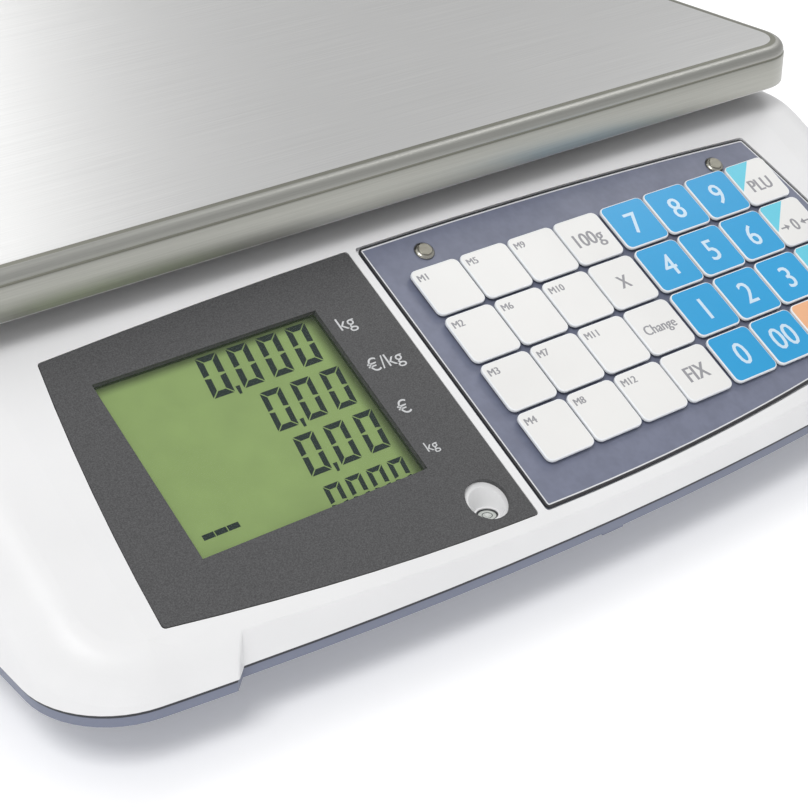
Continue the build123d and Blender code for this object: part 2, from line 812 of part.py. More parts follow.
with BuildPart() as power_inlet:
    with BuildSketch(rear_face.offset(0.2)):
        with Locations((inlet_x, rear_socket_z)):
            Rectangle(inlet_width - 0.4, inlet_height - 0.4)
    extrude(amount=13)
    with BuildSketch(rear_face):
        with Locations((inlet_x, rear_socket_z)):
            Circle(3.2)
    extrude(amount=11, mode=Mode.SUBTRACT)
    with BuildSketch(rear_face.offset(11.2)):
        with Locations((inlet_x, rear_socket_z)):
            Circle(1.0)
    extrude(amount=-9)
finish("power_inlet", power_inlet.part)

rocker_axis_y = rear_y - 4.5
with BuildPart() as power_switch:
    with BuildSketch(Plane.YZ.offset(switch_x - switch_width / 2 + 0.4)):
        with BuildLine():
            Polyline((rocker_axis_y - 5, rear_socket_z - 5), (rocker_axis_y + 3.2, rear_socket_z - 8.4))
            ThreePointArc(
                (rocker_axis_y + 3.2, rear_socket_z - 8.4),
                (rocker_axis_y + 2.2, rear_socket_z),
                (rocker_axis_y + 3.2, rear_socket_z + 8.4),
            )
            Polyline(
                (rocker_axis_y + 3.2, rear_socket_z + 8.4),
                (rocker_axis_y - 5, rear_socket_z + 5),
                (rocker_axis_y - 5, rear_socket_z - 5),
            )
        make_face()
    extrude(amount=switch_width - 0.8)
rocker_pivot = Axis((switch_x, rocker_axis_y, rear_socket_z), (1, 0, 0))
tilted_switch = power_switch.part.rotate(rocker_pivot, rocker_tilt)
finish("power_switch", tilted_switch)
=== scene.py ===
import json
import math

import bmesh
import bpy
from mathutils import Euler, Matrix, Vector


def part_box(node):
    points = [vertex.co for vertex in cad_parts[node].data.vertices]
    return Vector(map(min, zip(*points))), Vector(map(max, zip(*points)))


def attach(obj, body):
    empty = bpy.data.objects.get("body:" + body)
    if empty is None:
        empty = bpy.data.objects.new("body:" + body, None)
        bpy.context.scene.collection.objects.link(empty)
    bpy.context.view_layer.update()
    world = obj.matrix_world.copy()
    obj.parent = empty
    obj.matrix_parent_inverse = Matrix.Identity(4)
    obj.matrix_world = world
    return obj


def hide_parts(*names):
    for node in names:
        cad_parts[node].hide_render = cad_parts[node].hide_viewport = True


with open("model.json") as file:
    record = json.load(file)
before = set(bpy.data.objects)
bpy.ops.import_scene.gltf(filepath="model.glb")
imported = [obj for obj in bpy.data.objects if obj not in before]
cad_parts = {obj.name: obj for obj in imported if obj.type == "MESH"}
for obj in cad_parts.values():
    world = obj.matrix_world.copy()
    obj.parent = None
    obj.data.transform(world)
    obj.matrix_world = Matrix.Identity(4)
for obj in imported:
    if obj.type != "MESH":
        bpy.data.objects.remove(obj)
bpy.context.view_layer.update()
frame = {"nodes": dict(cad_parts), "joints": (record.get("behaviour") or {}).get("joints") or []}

MM = 0.001
nodes = frame["nodes"]


# ------------------------------------------------------------------ panel frame
# a runs to the operator's right, b runs up the sloped panel, h stands out of it.
press = next(Vector(j["axis"]) for j in frame["joints"] if j["name"] == "key_digit_5_press")
OUT = -press.normalized()
ACROSS = Vector((1, 0, 0))
UP = OUT.cross(ACROSS)
SURFACE = max(v.co.dot(OUT) for v in nodes["display_bezel"].data.vertices)


def on_panel(a, b, h=0.0):
    """The point at (a, b) on the operator panel, h above it, in the row frame."""
    return ACROSS * a + UP * b + OUT * (SURFACE + h)


def extent(node):
    """Lowest and highest a, b and h of a CAD node."""
    points = [v.co for v in nodes[node].data.vertices]
    spans = []
    for axis, base in ((ACROSS, 0), (UP, 0), (OUT, SURFACE)):
        values = [p.dot(axis) - base for p in points]
        spans.append((min(values), max(values)))
    return spans


# ------------------------------------------------------------------ materials
# sizes of surface features, in metres
FINE_GRAIN = 0.0006
BROAD_TONE = 0.05
BRUSH_LINE = 0.0004
BRUSH_PATCH = 0.15
# the band is in shadow from this far below the upper housing, and the shade fades out over the rest
SEAM_SHADOW_END = 1.15 * MM
SEAM_FADE_END = 1.3 * MM
SEAM_SHADE = 0.12
LCD_GREEN = (0.265, 0.375, 0.125)
# width of the collar's shadow on the display and how dark it is at the edge
RIGHT_SHADOW = (5.5 * MM, 0.25)
REAR_SHADOW = (4 * MM, 0.3)


class Graph:
    """A Principled material whose colour, roughness and bump come from noise in object space."""

    def __init__(self, name, color, rough, metallic=0.0, **sockets):
        self.mat = bpy.data.materials.new(name)
        self.mat.use_nodes = True
        self.tree = self.mat.node_tree
        self.shader = self.tree.nodes["Principled BSDF"]
        self.set("Base Color", (*color, 1))
        self.set("Roughness", rough)
        self.set("Metallic", metallic)
        for key, value in sockets.items():
            self.set(key.replace("_", " "), value)
        self.color = color
        self.coords = self.tree.nodes.new("ShaderNodeTexCoord").outputs["Object"]

    def set(self, socket, value):
        self.shader.inputs[socket].default_value = value

    def node(self, kind, **inputs):
        made = self.tree.nodes.new(kind)
        for key, value in inputs.items():
            socket = made.inputs[key.replace("_", " ")]
            if isinstance(value, bpy.types.NodeSocket):
                self.tree.links.new(value, socket)
            else:
                socket.default_value = value
        return made

    def noise(self, size, stretch=(1, 1, 1), detail=3.0, rough=0.55):
        """Noise with features of about this size in metres, stretched along an axis."""
        mapping = self.node("ShaderNodeMapping", Vector=self.coords)
        mapping.inputs["Scale"].default_value = [1 / s for s in stretch]
        made = self.node("ShaderNodeTexNoise", Vector=mapping.outputs[0], Scale=1 / size,
                         Detail=detail, Roughness=rough)
        return made.outputs["Fac"]

    def tint(self, fac, low, high, start=0.3, end=0.7):
        """Base colour from low times to high times the material's colour."""
        ramp = self.node("ShaderNodeValToRGB", Fac=fac)
        for stop, at, gain in zip(ramp.color_ramp.elements, (start, end), (low, high)):
            stop.position = at
            gains = gain if isinstance(gain, tuple) else (gain,) * 3
            stop.color = [min(1, c * g) for c, g in zip(self.color, gains)] + [1]
        self.tree.links.new(ramp.outputs[0], self.shader.inputs["Base Color"])
        return ramp.outputs[0]

    def gloss(self, fac, low, high):
        """Roughness between two values."""
        span = self.node("ShaderNodeMapRange", Value=fac)
        span.inputs["From Min"].default_value = 0.3
        span.inputs["From Max"].default_value = 0.7
        span.inputs["To Min"].default_value = low
        span.inputs["To Max"].default_value = high
        self.tree.links.new(span.outputs[0], self.shader.inputs["Roughness"])

    def bump(self, fac, depth):
        """Surface relief of this depth in metres."""
        made = self.node("ShaderNodeBump", Height=fac, Distance=depth, Strength=1.0)
        self.tree.links.new(made.outputs[0], self.shader.inputs["Normal"])

    def shaded(self, color, fade):
        """A colour output scaled by a fade, which also becomes the base colour."""
        made = self.node("ShaderNodeVectorMath", Vector=color)
        made.operation = "SCALE"
        self.tree.links.new(fade, made.inputs["Scale"])
        self.tree.links.new(made.outputs[0], self.shader.inputs["Base Color"])
        return made.outputs[0]


def moulded(name, color, rough, grain=FINE_GRAIN, depth=0.00002, spread=0.05, **sockets):
    """Moulded plastic: a fine satin grain and a faint, broad change of tone."""
    g = Graph(name, color, rough, **sockets)
    fine = g.noise(grain, detail=2)
    g.tint(g.noise(BROAD_TONE), 0.97, 1.03)
    g.gloss(fine, rough - spread, rough + spread)
    g.bump(fine, depth)
    return g.mat


def printed(name, color):
    """Smooth key print under a clear skin."""
    return moulded(name, color, 0.3, grain=0.006, depth=0.000004, spread=0.02)


def base_look():
    """Moulded base plastic, with the seam along its upper edge in shadow."""
    g = Graph("blue_grey_base", (0.18, 0.20, 0.27), 0.42)
    fine = g.noise(FINE_GRAIN, detail=2)
    tone = g.tint(g.noise(BROAD_TONE), 0.97, 1.03)
    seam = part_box("top_housing")[0].z
    height = g.node("ShaderNodeSeparateXYZ", Vector=g.coords)
    fade = g.node("ShaderNodeMapRange", Value=height.outputs["Z"],
                  From_Min=seam - SEAM_FADE_END, From_Max=seam - SEAM_SHADOW_END,
                  To_Min=1.0, To_Max=SEAM_SHADE)
    g.shaded(tone, fade.outputs[0])
    g.gloss(fine, 0.37, 0.47)
    g.bump(fine, 0.00002)
    return g.mat


def brushed(name, color, rough, along, depth=0.000012, length=0.06, **sockets):
    """Brushed metal, its lines along one axis (0, 1 or 2), or level all round if along is 'ring'."""
    g = Graph(name, color, rough, 1.0, **sockets)
    if along == "ring":
        stretch = (length / BRUSH_LINE, length / BRUSH_LINE, 1)
    else:
        stretch = tuple(length / BRUSH_LINE if i == along else 1 for i in range(3))
    lines = g.noise(BRUSH_LINE, stretch, detail=4, rough=0.7)
    g.tint(lines, 0.9, 1.06)
    g.gloss(g.noise(BRUSH_PATCH), rough - 0.015, rough + 0.015)
    g.bump(lines, depth)
    return g.mat


def lcd_graph(name):
    """Reflective display glass, faintly cloudy, and its colour output."""
    g = Graph(name, LCD_GREEN, 0.4, Specular_IOR_Level=0.15)
    clouds = g.tint(g.noise(0.012), 0.95, 1.05)
    g.gloss(g.noise(0.004), 0.36, 0.46)
    return g, clouds


def speckled(name, color, rough, size, low, high, depth=0.00001, **sockets):
    """A printed or textured sheet with fine speckle."""
    g = Graph(name, color, rough, **sockets)
    fine = g.noise(size, detail=2, rough=0.8)
    g.tint(fine, low, high, 0.35, 0.65)
    g.gloss(g.noise(0.02), rough - 0.04, rough + 0.06)
    g.bump(fine, depth)
    return g.mat


def lcd_look():
    """The operator's display glass, shaded by the collar on its right and rear."""
    g, color = lcd_graph("lcd_face")
    across, up, _ = extent("display_window")
    for axis, edge, (width, dark) in ((ACROSS, across[1], RIGHT_SHADOW), (UP, up[1], REAR_SHADOW)):
        along = g.node("ShaderNodeVectorMath", Vector=g.coords)
        along.operation = "DOT_PRODUCT"
        along.inputs[1].default_value = axis
        fade = g.node("ShaderNodeMapRange", Value=along.outputs["Value"],
                      From_Min=edge - width, From_Max=edge, To_Min=1.0, To_Max=dark)
        fade.interpolation_type = "SMOOTHSTEP"
        color = g.shaded(color, fade.outputs[0])
    g.bump(g.noise(0.0005, detail=2), 0.000004)
    return g.mat


def glass(name, color, alpha, rough):
    """Clear or smoked plastic."""
    g = Graph(name, color, rough, Alpha=alpha)
    g.gloss(g.noise(0.03), rough, rough + 0.03)
    g.tint(g.noise(0.02), 0.97, 1.03)
    return g.mat


MATERIALS = {
    "pan_top": brushed("pan_top", (0.72, 0.72, 0.715), 0.38, 0),
    # the skirt, the rolled edge and its creases are darker copies of the pan's stainless: painted shade
    "pan_skirt_painted_shade": brushed("pan_skirt_painted_shade", (0.42, 0.42, 0.385), 0.38, "ring"),
    "pan_roll_painted_shade": brushed("pan_roll_painted_shade", (0.40, 0.40, 0.375), 0.5, "ring"),
    "pan_crease_painted_shade": brushed("pan_crease_painted_shade", (0.26, 0.26, 0.22), 0.45, "ring"),
    "cast_aluminium": brushed("cast_aluminium", (0.62, 0.63, 0.64), 0.5, 0, depth=0.00003),
    "white_housing": moulded("white_housing", (0.81, 0.81, 0.815), 0.42),
    "blue_grey_base": base_look(),
    "dark_bezel": speckled("dark_bezel", (0.072, 0.072, 0.074), 0.5, 0.0004, 0.75, 1.5,
                           Specular_IOR_Level=0.3),
    "keypad_sheet": speckled("keypad_sheet", (0.165, 0.18, 0.25), 0.35, 0.006, 0.94, 1.07),
    # pale painted highlight on the edge of the clear keypad sheet
    "cover_edge_painted_highlight": moulded("cover_edge_painted_highlight", (0.72, 0.73, 0.75), 0.2),
    "lcd_face": lcd_look(),
    "rear_lcd_face": lcd_graph("rear_lcd_face")[0].mat,
    # dark green painted shade for the collar round the display and for the cell's sides
    "lcd_collar_painted_shade": moulded("lcd_collar_painted_shade", (0.020, 0.034, 0.008), 0.6, Specular_IOR_Level=0.0),
    "lcd_ink": moulded("lcd_ink", (0.008, 0.018, 0.018), 0.5, Specular_IOR_Level=0.05),
    "silicone": moulded("silicone", (0.10, 0.10, 0.11), 0.6),
    "circuit_board": speckled("circuit_board", (0.02, 0.14, 0.05), 0.35, 0.003, 0.8, 1.2),
    "steel": brushed("steel", (0.27, 0.26, 0.22), 0.36, 0, length=0.004),
    "steel_rim": brushed("steel_rim", (0.46, 0.45, 0.40), 0.25, 0, length=0.004),
    "battery_case": moulded("battery_case", (0.045, 0.045, 0.05), 0.5),
    "black_plastic": moulded("black_plastic", (0.025, 0.025, 0.028), 0.5),
    "vial_fluid": moulded("vial_fluid", (0.55, 0.58, 0.55), 0.12, depth=0.000002),
    "key_body": printed("key_body", (0.86, 0.88, 0.90)),
    "key_white": printed("key_white", (0.82, 0.815, 0.80)),
    "key_blue": printed("key_blue", (0.012, 0.34, 0.68)),
    "key_cyan": printed("key_cyan", (0.13, 0.60, 0.76)),
    "key_orange": printed("key_orange", (0.86, 0.46, 0.25)),
    "ink_grey": moulded("ink_grey", (0.30, 0.30, 0.32), 0.4),
    "ink_pale": moulded("ink_pale", (0.60, 0.76, 0.88), 0.35),
    "ink_light": moulded("ink_light", (0.58, 0.59, 0.60), 0.4),
    "clear_window": glass("clear_window", (0.30, 0.34, 0.30), 0.05, 0.08),
    "smoked_window": glass("smoked_window", (0.02, 0.02, 0.025), 0.3, 0.06),
    "bubble": glass("bubble", (0.95, 0.97, 0.95), 0.5, 0.05),
}


# ------------------------------------------------------------------ mesh helpers
# the two copies that make a bold letter differ in height by this much of its thickness
BOLD_STEP = 0.2
SMALLEST_RADIUS = 0.00002


def outline(width, height, radius, steps=6):
    """Points round a rounded rectangle about the origin, counter-clockwise."""
    radius = max(radius, SMALLEST_RADIUS)
    points = []
    for quarter in range(4):
        sx = (1, -1, -1, 1)[quarter]
        sy = (1, 1, -1, -1)[quarter]
        for step in range(steps + 1):
            angle = math.radians(90 * (quarter + step / steps))
            points.append((sx * (width / 2 - radius) + radius * math.cos(angle),
                           sy * (height / 2 - radius) + radius * math.sin(angle)))
    return points


class Piece:
    """Collects closed shells with materials, and becomes one object that rides on a body."""

    def __init__(self, name, place=lambda x, y, z: Vector((x, y, z))):
        self.name, self.place = name, place
        self.bm = bmesh.new()
        self.materials = []

    def slot(self, material):
        if material not in self.materials:
            self.materials.append(material)
        return self.materials.index(material)

    def face(self, verts, index, smooth):
        try:
            made = self.bm.faces.new(verts)
        except ValueError:
            return
        made.material_index = index
        made.smooth = smooth

    def rings(self, rings, material, smooth=True, close=False, caps=(True, True)):
        """Joins rings of points, bottom to top, into a shell, or into a closed loop."""
        index = self.slot(material)
        made = [[self.bm.verts.new(self.place(*p)) for p in ring] for ring in rings]
        pairs = list(zip(made, made[1:] + made[:1] if close else made[1:]))
        for low, high in pairs:
            n = len(low)
            for i in range(n):
                self.face((low[i], low[(i + 1) % n], high[(i + 1) % n], high[i]), index, smooth)
        if not close:
            if caps[0]:
                self.face(list(reversed(made[0])), index, False)
            if caps[1]:
                self.face(made[-1], index, False)

    def plate(self, center, size, radius, profile, material, steps=6, **options):
        """A rounded rectangle swept up through (inset, height) pairs."""
        rings = []
        for inset, z in profile:
            shape = outline(size[0] - 2 * inset, size[1] - 2 * inset, radius - inset, steps)
            rings.append([(center[0] + x, center[1] + y, z) for x, y in shape])
        self.rings(rings, material, **options)

    def disc(self, center, profile, material, sides=32, **options):
        """A turned shape: (radius, height) pairs from bottom to top."""
        rings = []
        for radius, z in profile:
            angles = [2 * math.pi * i / sides for i in range(sides)]
            rings.append([(center[0] + radius * math.cos(t), center[1] + radius * math.sin(t), z)
                          for t in angles])
        self.rings(rings, material, **options)

    def prism(self, points, low, high, material):
        """A flat polygon from height low to height high."""
        self.rings([[(x, y, z) for x, y in points] for z in (low, high)], material, smooth=False)

    def text(self, words, center, height, low, thick, material, spread=1.0, bold=0.0, align="CENTER"):
        """Lettering whose capitals have this height, standing from low by thick, widened by bold."""
        mesh = lettering(words, 0.5)
        scale = height / CAP_HEIGHT
        xs = [v.co.x for v in mesh.vertices]
        ys = [v.co.y for v in mesh.vertices]
        shift = {"CENTER": -(min(xs) + max(xs)) / 2, "LEFT": -min(xs)}[align]
        middle = CAP_HEIGHT / 2
        index = self.slot(material)
        for step in (-0.5, 0.5) if bold else (0,):
            verts = [self.bm.verts.new(self.place(
                center[0] + (v.co.x + shift) * scale * spread + step * bold,
                center[1] + (v.co.y - middle) * scale,
                low + (v.co.z + 0.5 + step * BOLD_STEP) * thick)) for v in mesh.vertices]
            for polygon in mesh.polygons:
                self.face([verts[i] for i in polygon.vertices], index, False)
        bpy.data.meshes.remove(mesh)

    def finish(self, body, slot, *replaced):
        """Makes the object, on this body, in place of the replaced CAD nodes; the slot argument is not used.
        """
        self.bm.normal_update()
        mesh = bpy.data.meshes.new(self.name)
        self.bm.to_mesh(mesh)
        self.bm.free()
        for material in self.materials:
            mesh.materials.append(MATERIALS[material])
        made = bpy.data.objects.new(self.name, mesh)
        bpy.context.scene.collection.objects.link(made)
        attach(made, body)
        if replaced:
            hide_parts(*replaced)
        return made


def lettering(words, half_thick=0.0):
    """Mesh of the words at size 1 in the default font, flat unless a half thickness is given."""
    curve = bpy.data.curves.new("lettering", "FONT")
    curve.body = words
    curve.size = 1.0
    curve.extrude = half_thick
    curve.resolution_u = 3
    curve.align_x = "LEFT"
    probe = bpy.data.objects.new("lettering", curve)
    mesh = bpy.data.meshes.new_from_object(probe)
    bpy.data.objects.remove(probe)
    bpy.data.curves.remove(curve)
    return mesh


def cap_height():
    """Height of a capital letter at size 1 in the default font."""
    mesh = lettering("H")
    top = max(v.co.y for v in mesh.vertices)
    bpy.data.meshes.remove(mesh)
    return top


CAP_HEIGHT = cap_height()


# ------------------------------------------------------------------ carried-over CAD nodes
CAD_LOOKS = {
    "top_housing": "white_housing", "base_housing": "blue_grey_base", "battery_cover": "blue_grey_base",
    "display_bezel": "dark_bezel", "display_window": "clear_window", "level_vial": "vial_fluid",
    "rear_window": "smoked_window", "lcd_module": "lcd_face", "rear_lcd": "rear_lcd_face",
    "keypad_plate": "keypad_sheet", "keypad_mat": "silicone", "pan_bushes": "silicone",
    "keypad_board": "circuit_board", "main_board": "circuit_board", "keypad_screws": "steel",
    "housing_screws": "steel", "load_cell_bolts": "steel", "overload_stops": "steel",
    "battery": "battery_case", "power_inlet": "black_plastic", "power_switch": "black_plastic",
    "pan_support": "cast_aluminium", "load_cell": "cast_aluminium", "weighing_pan": "pan_top",
}
for node_name, node in nodes.items():
    look = CAD_LOOKS.get(node_name, "black_plastic" if node_name.startswith("foot") else "key_white")
    node.data.materials.clear()
    node.data.materials.append(MATERIALS[look])


# ------------------------------------------------------------------ weighing pan
PAN_CORNER = 16.5 * MM
# the rolled edge and the fold inside it, in mm
ROLL_DROP = 3.3
ROLL_REACH = 3.0
ROLL_TOP = 0.12
SHEET = 1.5
FOLD_RADIUS = 2.5
FOLD_DROP = 4.0
ARC_STEPS = 8


def build_pan():
    """The stainless tray: profiles are (inset from the outline, height) pairs."""
    low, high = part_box("weighing_pan")
    center = ((low.x + high.x) / 2, (low.y + high.y) / 2)
    size = (high.x - low.x, high.y - low.y)
    top, rim = high.z, low.z
    pan = Piece("pan_tray")

    def band(profile, material, **options):
        points = [(inset * MM, z) for inset, z in profile]
        options.setdefault("caps", (False, False))
        pan.plate(center, size, PAN_CORNER, points, material, steps=12, **options)

    def below(z):
        return top - z * MM

    arc = [math.radians(90 * i / ARC_STEPS) for i in range(ARC_STEPS + 1)]
    roll = [(ROLL_DROP - ROLL_REACH * math.sin(t), below(ROLL_TOP + ROLL_DROP * (1 - math.cos(t))))
            for t in arc]
    hem = [(SHEET, rim + 0.7 * MM), (1.35, rim + 0.2 * MM), (0.75, rim), (0.15, rim + 0.2 * MM),
           (0, rim + 0.5 * MM)]
    # the skirt, the roll and the creases take darker copies of the stainless: painted shade
    band(hem[:3], "pan_skirt_painted_shade")
    band(hem[2:], "pan_top")
    band([hem[-1], (0, below(4.4)), (0.12, below(4.1))], "pan_skirt_painted_shade")
    band([(0.12, below(4.1)), (0.42, below(3.75)), roll[-1]], "pan_crease_painted_shade")
    band(list(reversed(roll)), "pan_roll_painted_shade")
    band([roll[0], (3.9, below(0.14)), (4.6, below(0.03)), (5.2, top)], "pan_crease_painted_shade")
    band([(5.2, top), (9, top)], "pan_top", caps=(False, True))
    under = [(SHEET + FOLD_RADIUS - FOLD_RADIUS * math.cos(t), below(FOLD_DROP - FOLD_RADIUS * math.sin(t)))
             for t in reversed(arc)]
    band([(12, under[0][1])] + under + [hem[0]], "pan_top", caps=(True, False))
    bmesh.ops.remove_doubles(pan.bm, verts=pan.bm.verts, dist=1e-6)
    pan.finish("pan", "stainless_pan", "weighing_pan")


build_pan()


# ------------------------------------------------------------------ keys
KEY_LABELS = {
    "digit_0": "0", "digit_00": "00", "clear": "C", "multiply": "X", "weight_100": "100g",
    "change": "Change", "fix": "FIX", "price_lookup": "PLU", "zero_set": "0", "tare": "T", "total": "=",
}
KEY_LABELS.update({f"digit_{n}": str(n) for n in range(1, 10)})
LABEL_COLORS = {"clear": "key_orange"}
LABEL_COLORS.update({name: "key_blue" for name in KEY_LABELS if name.startswith("digit")})
LAST_COLUMN = ("price_lookup", "zero_set", "tare", "total")
# capital height, width factor and added stroke width, in mm
DIGIT_LEGEND = (8.2, 0.88, 0.22)
MEMORY_LEGEND = (2.4, 0.95, 0.22)
LEGENDS = {
    "clear": (7.6, 0.85, 0.35), "multiply": (4.8, 0.8, 0.35), "weight_100": (5.2, 0.84, 0.32),
    "change": (3.5, 0.84, 0.25), "fix": (5.4, 0.78, 0.4), "price_lookup": (5.0, 0.8, 0.4),
    "zero_set": (4.8, 0.8, 0.35), "tare": (4.8, 0.8, 0.35), "total": (4.8, 0.8, 0.35),
}


KEY_STEM = (14.4 * MM, 14 * MM)
STEM_CORNER = 0.8 * MM
CAP_CORNER = 2.3 * MM
CAP_DEPTH = 1.3 * MM
LABEL_CORNER = 1.9 * MM
LABEL_INSET = 0.42 * MM
LABEL_SINK = 0.03 * MM
# ink starts just inside the label and stands this far out of it
INK_SINK = 0.01 * MM
INK = 0.03 * MM
LOWERED_LEGEND = 1.6 * MM
CYAN_LEG = 11 * MM
CYAN_NICK = 1 * MM
# the zero key's arrows, in mm away from the tip and across it
ARROW_HEAD = ((0, 0), (1.8, -1.3), (1.8, 1.3))
ARROW_BAR = ((1.5, -0.3), (4, -0.3), (4, 0.3), (1.5, 0.3))


def build_key(node_name):
    """A clear key cap on its stem, with the printed label under its face."""
    (a0, a1), (b0, b1), (h0, h1) = extent(node_name)
    center = ((a0 + a1) / 2, (b0 + b1) / 2)
    size = (a1 - a0, b1 - b0)
    name = node_name[4:]
    key = Piece("cap_" + name, on_panel)
    under = h1 - CAP_DEPTH
    stem = [(0, h0), (0, under + 0.2 * MM)]
    key.plate(center, KEY_STEM, STEM_CORNER, stem, "key_body", steps=3)
    cap = [(0.4 * MM, under), (0.05 * MM, under + 0.2 * MM), (0, under + 0.4 * MM), (0, h1 - 0.42 * MM),
           (0.05 * MM, h1 - 0.24 * MM), (0.16 * MM, h1 - 0.12 * MM), (0.34 * MM, h1 - 0.05 * MM)]
    key.plate(center, size, CAP_CORNER, cap, "key_body")
    label = LABEL_COLORS.get(name, "key_white")
    face = h1 - LABEL_SINK
    ink_low = face - INK_SINK
    key.plate(center, (size[0] - 2 * LABEL_INSET, size[1] - 2 * LABEL_INSET), LABEL_CORNER,
              [(0, h1 - 0.3 * MM), (0, face)], label)
    ink = "ink_pale" if label == "key_blue" else "ink_grey"
    if name.startswith("memory"):
        corner = (a0 + 1.5 * MM, b1 - 3.4 * MM)
        height, spread, bold = MEMORY_LEGEND
        key.text("M" + name.split("_")[1], corner, height * MM, ink_low, INK, ink,
                 spread, bold * MM, "LEFT")
    else:
        height, spread, bold = LEGENDS.get(name, DIGIT_LEGEND)
        spot = (center[0], center[1] - (LOWERED_LEGEND if name in LAST_COLUMN else 0))
        key.text(KEY_LABELS[name], spot, height * MM, ink_low, INK, ink, spread, bold * MM)
    if name in LAST_COLUMN:
        left, rear = a0 + LABEL_INSET, b1 - LABEL_INSET
        corner = [(left, rear - CYAN_LEG), (left + CYAN_LEG, rear), (left + CYAN_NICK, rear),
                  (left, rear - CYAN_NICK)]
        key.prism(corner, ink_low, face + 0.015 * MM, "key_cyan")
    if name == "zero_set":
        # an arrow on each side points at the zero
        for side in (-1, 1):
            tip = spot[0] + side * 2.6 * MM
            for shape in (ARROW_HEAD, ARROW_BAR):
                points = [(tip + side * away * MM, spot[1] + across * MM) for away, across in shape]
                key.prism(points[::side], ink_low, face + 0.02 * MM, ink)
    material = {"key_blue": "blue_key", "key_orange": "orange_key"}.get(label, "white_key")
    key.finish(node_name, material, node_name)


for node_name in sorted(nodes):
    if node_name.startswith("key_"):
        build_key(node_name)


# ------------------------------------------------------------------ operator display
LEAN = 0.13
SEGMENT_GAP = 0.13
MIDDLE_MITRE = 0.18


def digit(piece, center, width, height, stroke, low, thick, material):
    """A seven-segment 0 with mitred ends, leaning a little to the right."""
    x0, x1 = center[0] - width / 2, center[0] + width / 2
    y0, y1 = center[1] - height / 2, center[1] + height / 2
    ym = center[1]
    gap = stroke * SEGMENT_GAP
    t, middle = stroke, stroke * MIDDLE_MITRE

    def level(y, side):
        inner = y - side * t
        return [(x0 + gap, y), (x1 - gap, y), (x1 - t - gap, inner), (x0 + t + gap, inner)]

    def upright(x, side, low_y, high_y, low_mitre, high_mitre):
        return [(x, low_y + gap), (x, high_y - gap), (x - side * t, high_y - gap - high_mitre),
                (x - side * t, low_y + gap + low_mitre)]

    for shape in (level(y1, 1), level(y0, -1),
                  upright(x1, 1, ym, y1, middle, t), upright(x1, 1, y0, ym, t, middle),
                  upright(x0, -1, ym, y1, middle, t), upright(x0, -1, y0, ym, t, middle)):
        leaning = [(x + (y - ym) * LEAN, y) for x, y in shape]
        piece.prism(leaning, low, low + thick, material)


# in mm: last digit from the window's right edge, middle from its rear edge, count, pitch, width,
# height, stroke, and whether the row has a comma
LCD_ROWS = (
    (8.5, 8.3, 4, 10.15, 7.0, 14.2, 2.0, True),
    (7.4, 25.3, 3, 10.15, 6.9, 13.6, 1.8, True),
    (6.6, 42.0, 3, 10.2, 6.9, 13.4, 1.8, True),
    (6.6, 58.7, 4, 7.3, 5.4, 12.0, 1.5, False),
)


# in mm, about the comma's place on the digits' foot line
COMMA = ((-0.7, -1.2), (0.2, -1.2), (0.8, 1.6), (-0.6, 1.6))
# three small bars: the first one's left end, their pitch, middle, length and half width, in mm
BAR_COUNT, BAR_LEFT, BAR_PITCH, BAR_DOWN, BAR_LENGTH, BAR_HALF = 3, 69.6, 3.9, 53.8, 3.6, 0.85
LCD_BOARD = 1.6 * MM
# the display face lies this far under the window
FACE_GAP = 0.8 * MM
LCD_INK = 0.04 * MM


def build_lcd():
    """The display's board, its cell and the lit segments."""
    (a0, a1), (b0, b1), (h0, h1) = extent("lcd_module")
    (wa0, wa1), (wb0, wb1), (wh0, wh1) = extent("display_window")
    lcd = Piece("display_module", on_panel)
    center = ((a0 + a1) / 2, (b0 + b1) / 2)
    board_top = h0 + LCD_BOARD
    lcd.plate(center, (a1 - a0, b1 - b0), 0.5 * MM, [(0, h0), (0, board_top)], "circuit_board")
    size = (wa1 - wa0 + 10 * MM, wb1 - wb0 + 8 * MM)
    cell = [(0, board_top - 0.1 * MM), (0, h1 - 0.05 * MM), (0.05 * MM, h1)]
    lcd.plate(center, size, 0.3 * MM, cell, "lcd_collar_painted_shade")
    # the glass cell stands up into the collar, framed by a thin dark-green frame of painted shade
    opening = ((wa0 + wa1) / 2, (wb0 + wb1) / 2)
    span = (wa1 - wa0, wb1 - wb0)
    face = wh0 - FACE_GAP
    lcd.plate(opening, span, 0.4 * MM, [(0.1 * MM, h1 - 0.02 * MM), (0.1 * MM, face)], "lcd_face")
    frame_low, frame_high = face - 0.3 * MM, wh0 - 0.03 * MM
    loop = [(0.05, frame_low), (0.05, frame_high), (0.3, frame_high), (0.3, frame_low)]
    lcd.plate(opening, span, 0.4 * MM, [(inset * MM, z) for inset, z in loop], "lcd_collar_painted_shade",
              smooth=False, close=True)
    ink_low = face - INK_SINK
    for right, down, count, pitch, width, height, stroke, comma in LCD_ROWS:
        y = wb1 - down * MM
        for i in range(count):
            x = wa1 - (right + i * pitch) * MM
            digit(lcd, (x, y), width * MM, height * MM, stroke * MM, ink_low, LCD_INK, "lcd_ink")
        if comma:
            x = wa1 - (right + (count - 1.5) * pitch + LEAN * height / 2) * MM
            foot = y - height / 2 * MM
            tail = [(x + across * MM, foot + up * MM) for across, up in COMMA]
            lcd.prism(tail, ink_low, ink_low + LCD_INK, "lcd_ink")
    middle = wb1 - BAR_DOWN * MM
    low, high = middle - BAR_HALF * MM, middle + BAR_HALF * MM
    for i in range(BAR_COUNT):
        left = wa1 - (BAR_LEFT - BAR_PITCH * i) * MM
        right = left + BAR_LENGTH * MM
        bar = [(left, low), (right, low), (right, high), (left, high)]
        lcd.prism(bar, ink_low, ink_low + LCD_INK, "lcd_ink")
    lcd.finish("chassis", "lcd_glass", "lcd_module")


